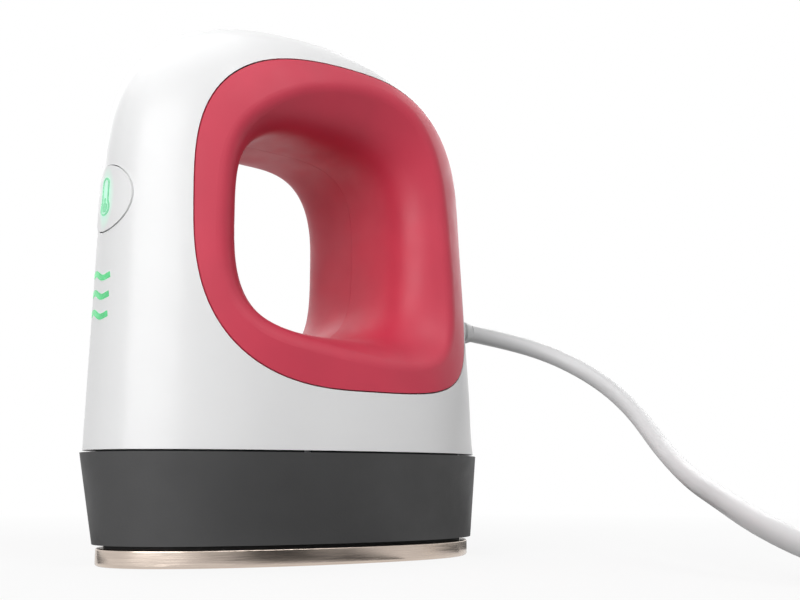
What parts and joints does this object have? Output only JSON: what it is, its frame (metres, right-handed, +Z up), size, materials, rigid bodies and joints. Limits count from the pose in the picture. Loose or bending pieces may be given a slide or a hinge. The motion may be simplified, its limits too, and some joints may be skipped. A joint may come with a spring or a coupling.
{
  "type": "mini handheld heat press",
  "caption": "Small hand-held heat press: heated plate under a grey skirt, white housing with a soft red hand opening, nose button with level lights, and a mains cord.",
  "frame": {"origin": "centre of the outline of the body (without the cord) at the plate's working face, z = 0", "axes": "+Z up from the working face through the hand opening to the crown; -Y towards the nose with the button; +X to the right hand side seen from the rear"},
  "size_m": [0.1937, 0.151, 0.1077],
  "materials": {
    "plate_metal": "satin champagne coating",
    "element_steel": "satin",
    "sheet_metal": "satin",
    "screw_steel": "satin",
    "mica": "matte",
    "ceramic_sensor": "matte",
    "collar_ceramic": "matte",
    "spacer_rubber": "matte",
    "skirt_plastic": "fine matte texture",
    "chassis_plastic": "matte",
    "shell_white": "gloss",
    "grip_red": "soft-touch matte",
    "button_white": "gloss",
    "icon_green": "printed, glows",
    "switch_black": "matte",
    "light_green": "translucent, glows",
    "guide_clear": "clear",
    "led_green": "clear",
    "board_green": "solder mask",
    "ribbon_grey": "matte",
    "transformer_yellow": "taped",
    "relay_blue": "matte",
    "capacitor_black": "sleeved",
    "fuse_glass": "clear",
    "terminal_green": "matte",
    "lead_black": "insulated",
    "lead_white": "insulated",
    "lead_yellow": "insulated",
    "cord_pale": "smooth satin",
    "cord_boot": "satin",
    "tie_black": "matte",
    "blade_brass": "bright"
  },
  "bodies": {
    "press": {"heat_plate": "plate_metal", "heating_element": "element_steel", "element_clamp": "sheet_metal", "element_screws": "screw_steel", "mica_sheet": "mica", "heat_shield": "sheet_metal", "thermistor": "ceramic_sensor", "thermal_fuse": "screw_steel", "standoff_collars": "collar_ceramic", "plate_spacer": "spacer_rubber", "base_skirt": "skirt_plastic", "chassis": "chassis_plastic", "plate_screws": "screw_steel", "housing_screws": "screw_steel", "housing_shell": "shell_white", "grip_right": "grip_red", "grip_left": "grip_red", "grip_dowels": "screw_steel", "tact_switch": "switch_black", "level_lights": "light_green", "light_guide": "guide_clear", "leds": "led_green", "display_board": "board_green", "display_screws": "screw_steel", "ribbon_cable": "ribbon_grey", "power_board": "board_green", "board_screws": "screw_steel", "transformer": "transformer_yellow", "relay": "relay_blue", "capacitor": "capacitor_black", "board_fuse": "fuse_glass", "terminal_block": "terminal_green", "mains_leads": "lead_black", "heater_leads": "lead_white", "sensor_leads": "lead_yellow", "fuse_leads": "lead_white", "cord_clamp": "chassis_plastic", "clamp_screws": "screw_steel", "cord_jacket": "cord_pale", "strain_relief": "cord_boot", "power_cord": "cord_pale", "cord_coil": "cord_pale", "coil_tie": "tie_black", "plug_lead": "cord_pale", "plug_body": "cord_boot", "plug_blades": "blade_brass"},
    "button": {"temperature_button": "button_white", "button_icon": "icon_green", "tact_plunger": "chassis_plastic"}
  },
  "joints": [
    {"name": "button_press", "type": "slide", "parent": "press", "child": "button", "axis": [0, 1, 0], "range_m": [0, 0.0008], "stiffness_N_per_m": 600}
  ]
}
